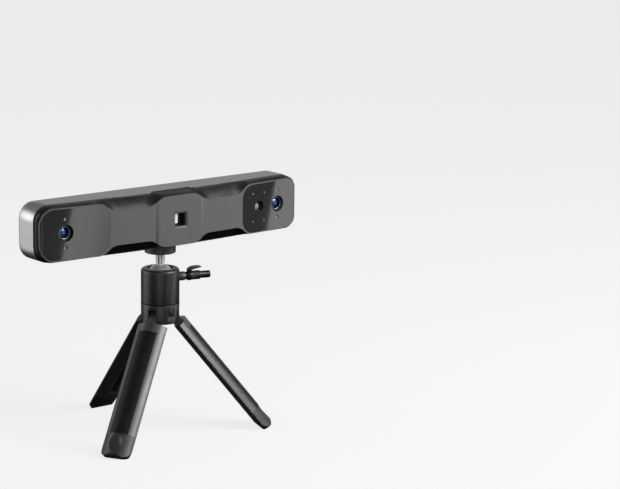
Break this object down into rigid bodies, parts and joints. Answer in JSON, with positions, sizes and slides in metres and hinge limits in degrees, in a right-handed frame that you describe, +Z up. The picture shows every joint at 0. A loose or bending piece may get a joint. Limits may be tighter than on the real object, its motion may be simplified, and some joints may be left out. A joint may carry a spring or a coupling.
{
  "type": "handheld scanner",
  "caption": "Bar-shaped handheld depth scanner with a bowed face, glass camera windows and a flared projector port, on a ball-headed mini tripod whose legs fold into a hand grip.",
  "frame": {"origin": "centre of the assembly's footprint box, on the surface it stands on", "axes": "+X along the scanner bar, -Y the way the cameras look, +Z up"},
  "size_m": [0.298, 0.1698, 0.2374],
  "materials": {
    "shell": "bead-blasted, anodised natural",
    "black_gloss": "polished black moulding",
    "face_grey": "fine satin grey paint",
    "window": "dark tinted, polished",
    "lens": "coated optics",
    "barrel": "matt black",
    "led": "clear epoxy dome",
    "board": "solder mask",
    "alu_inner": "machined",
    "brass": "knurled insert",
    "steel": "turned",
    "chrome": "polished chrome",
    "tripod_black": "satin black anodised",
    "tripod_grey": "satin dark grey",
    "leg_side": "moulded, fine grain",
    "leg_skin": "soft-touch black",
    "rubber": "moulded rubber",
    "nylon": "nylon",
    "knob": "moulded black",
    "button": "satin black key",
    "light": "light pipe"
  },
  "bodies": {
    "hub": {"leg_hub": "tripod_black", "hub_screw": "steel", "hinge_pin_1": "steel", "hinge_pin_2": "steel", "hinge_pin_3": "steel", "swivel_washer": "nylon"},
    "leg_1": {"leg_body_1": "leg_side", "leg_cover_1": "leg_skin", "foot_1": "rubber"},
    "leg_2": {"leg_body_2": "leg_side", "leg_cover_2": "leg_skin", "foot_2": "rubber"},
    "leg_3": {"leg_body_3": "leg_side", "leg_cover_3": "leg_skin", "foot_3": "rubber"},
    "head": {"ball_housing": "tripod_black", "head_base": "tripod_black", "lower_seat": "nylon", "lock_boss": "tripod_grey"},
    "liner": {"ball_liner": "nylon"},
    "shoe": {"clamp_shoe": "nylon"},
    "knob": {"lock_screw": "steel", "lock_knob": "knob", "lock_lever": "knob"},
    "button": {"scan_button": "button"},
    "scanner": {"rear_shell": "shell", "front_housing": "black_gloss", "front_plate": "face_grey", "window_left": "window", "window_right": "window", "left_camera_barrel": "barrel", "right_camera_barrel": "barrel", "colour_camera_barrel": "barrel", "left_camera_lens": "lens", "right_camera_lens": "lens", "colour_camera_lens": "lens", "projector_housing": "barrel", "projector_window": "lens", "infrared_leds": "led", "flash_leds": "led", "chassis_beam": "alu_inner", "main_board": "board", "heat_spreader": "alu_inner", "sensor_boards": "board", "board_spacers": "steel", "board_screws": "steel", "usb_socket": "steel", "button_switch": "barrel", "status_light": "light", "tripod_insert": "brass", "insert_boss": "alu_inner", "shell_screws": "steel", "screw_posts": "alu_inner", "ball_stem": "chrome", "top_plate": "tripod_grey", "top_pad": "rubber", "camera_stud": "steel"}
  },
  "joints": [
    {"name": "head_pan", "type": "hinge", "parent": "hub", "child": "head", "pos_m": [0, -0.02225, 0.1263], "axis": [0, 0, 1], "continuous": true},
    {"name": "ball_pitch", "type": "hinge", "parent": "head", "child": "liner", "pos_m": [0, -0.02225, 0.15], "axis": [1, 0, 0], "range_deg": [-25, 25]},
    {"name": "ball_roll", "type": "hinge", "parent": "liner", "child": "scanner", "pos_m": [0, -0.02225, 0.15], "axis": [0, 1, 0], "range_deg": [-25, 25]},
    {"name": "lock_turn", "type": "hinge", "parent": "shoe", "child": "knob", "pos_m": [0, -0.02225, 0.1497], "axis": [0.9613, -0.2756, 0], "range_deg": [0, 270]},
    {"name": "shoe_slide", "type": "slide", "parent": "head", "child": "shoe", "axis": [0.9613, -0.2756, 0], "range_m": [0, 0.00075]},
    {"name": "button_press", "type": "slide", "parent": "scanner", "child": "button", "axis": [0, -1, 0], "range_m": [0, 0.0006], "stiffness_N_per_m": 2500},
    {"name": "leg_fold_1", "type": "hinge", "parent": "hub", "child": "leg_1", "pos_m": [0.00866, -0.02725, 0.116], "axis": [0.5, 0.866, 0], "range_deg": [0, 38.5]},
    {"name": "leg_fold_2", "type": "hinge", "parent": "hub", "child": "leg_2", "pos_m": [0, -0.01225, 0.116], "axis": [-1, 0, 0], "range_deg": [0, 38.5]},
    {"name": "leg_fold_3", "type": "hinge", "parent": "hub", "child": "leg_3", "pos_m": [-0.00866, -0.02725, 0.116], "axis": [0.5, -0.866, 0], "range_deg": [0, 38.5]}
  ],
  "couplings": [
    {"joint": "lock_turn", "follows": "shoe_slide", "rad_per_m": 6283.2}
  ]
}
